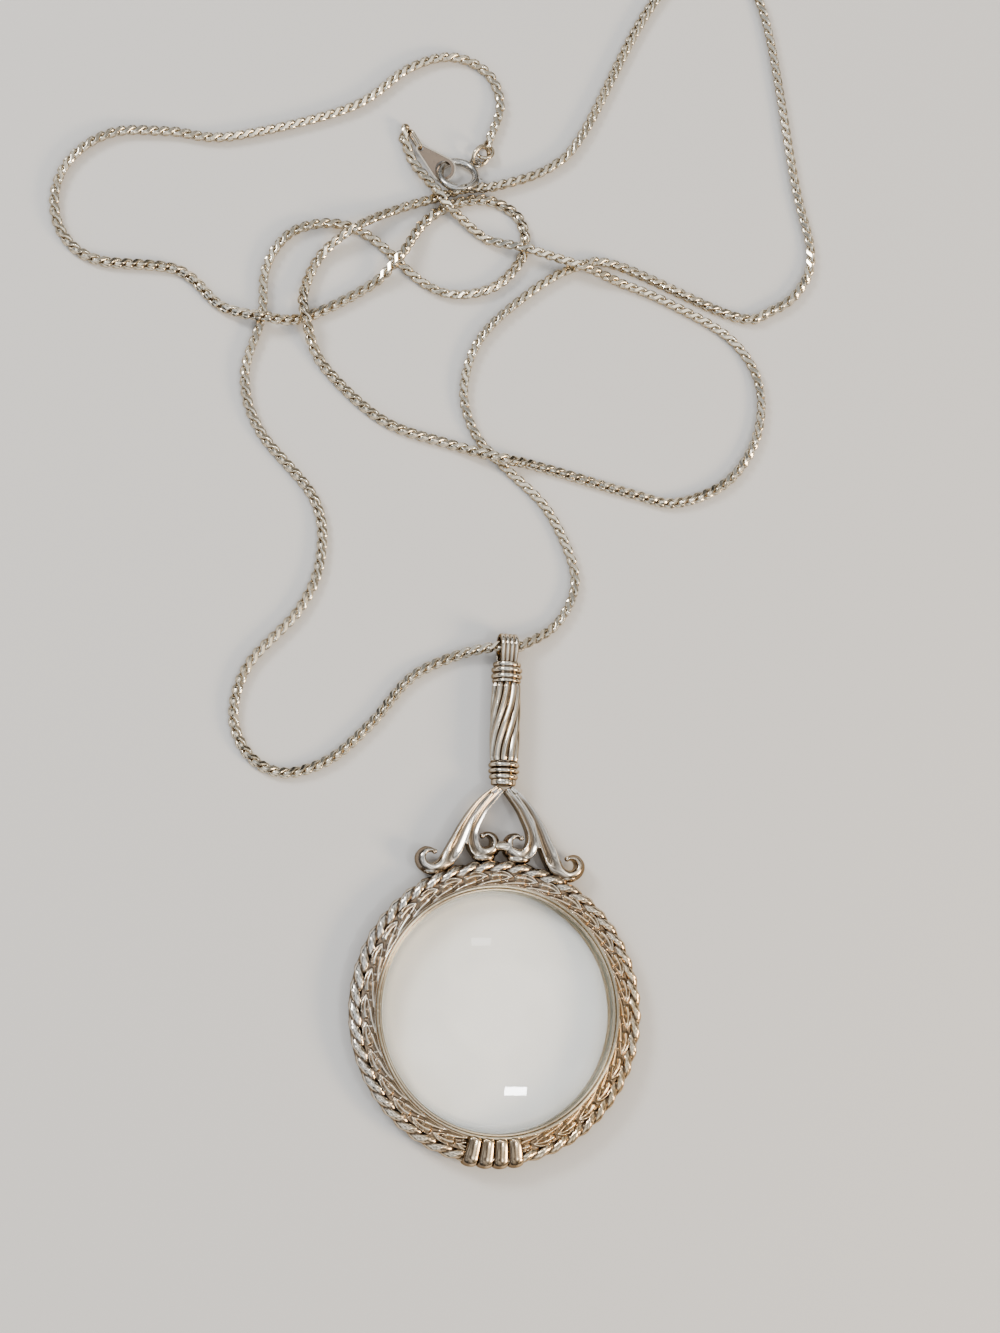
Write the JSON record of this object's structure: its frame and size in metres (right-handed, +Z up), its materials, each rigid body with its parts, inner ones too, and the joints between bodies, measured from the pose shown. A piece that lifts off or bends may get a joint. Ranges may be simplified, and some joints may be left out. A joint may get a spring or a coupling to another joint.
{
  "type": "magnifier pendant",
  "caption": "Round magnifier pendant with domed glass, rope-edged frame, scrolled yoke, fluted handle and wire bail, lying flat with its long fine curb chain and spring ring clasp.",
  "frame": {"origin": "middle of the outline of the pendant and its chain, on the table that they lie on", "axes": "+Z up off the table, +Y from the glass along the handle to the bail, +X to the right seen from above"},
  "size_m": [0.1262, 0.2004, 0.0054],
  "materials": {
    "glass": "clear polished crown glass",
    "bezel_metal": "bright polished silver-tone plate",
    "frame_metal": "polished silver-tone plate with a warm tone, darker in the recesses",
    "handle_metal": "polished silver-tone plate with a warm tone, darker in the recesses",
    "chain_metal": "diamond-cut silver-tone links",
    "link_metal": "plain silver-tone wire",
    "clasp_metal": "plain silver-tone tube, lightly worn",
    "tag_metal": "dulled warm plate"
  },
  "bodies": {
    "necklace": {"lens": "glass", "bezel": "bezel_metal", "frame": "frame_metal", "lower_collar": "handle_metal", "barrel": "handle_metal", "bail": "handle_metal", "chain_right": "chain_metal", "chain_left": "chain_metal", "end_link": "link_metal", "jump_ring": "link_metal", "clasp_ring": "clasp_metal", "tag": "tag_metal", "tag_link": "link_metal"},
    "bolt": {"clasp_bolt": "clasp_metal"}
  },
  "joints": [
    {"name": "bolt_turn", "type": "hinge", "parent": "necklace", "child": "bolt", "pos_m": [0.00125, 0.05586, 0.00192], "axis": [-0.1175, 0.4385, 0.891], "range_deg": [0, 38], "stiffness_Nm_per_rad": 0.002, "springref_deg": -11.46}
  ]
}
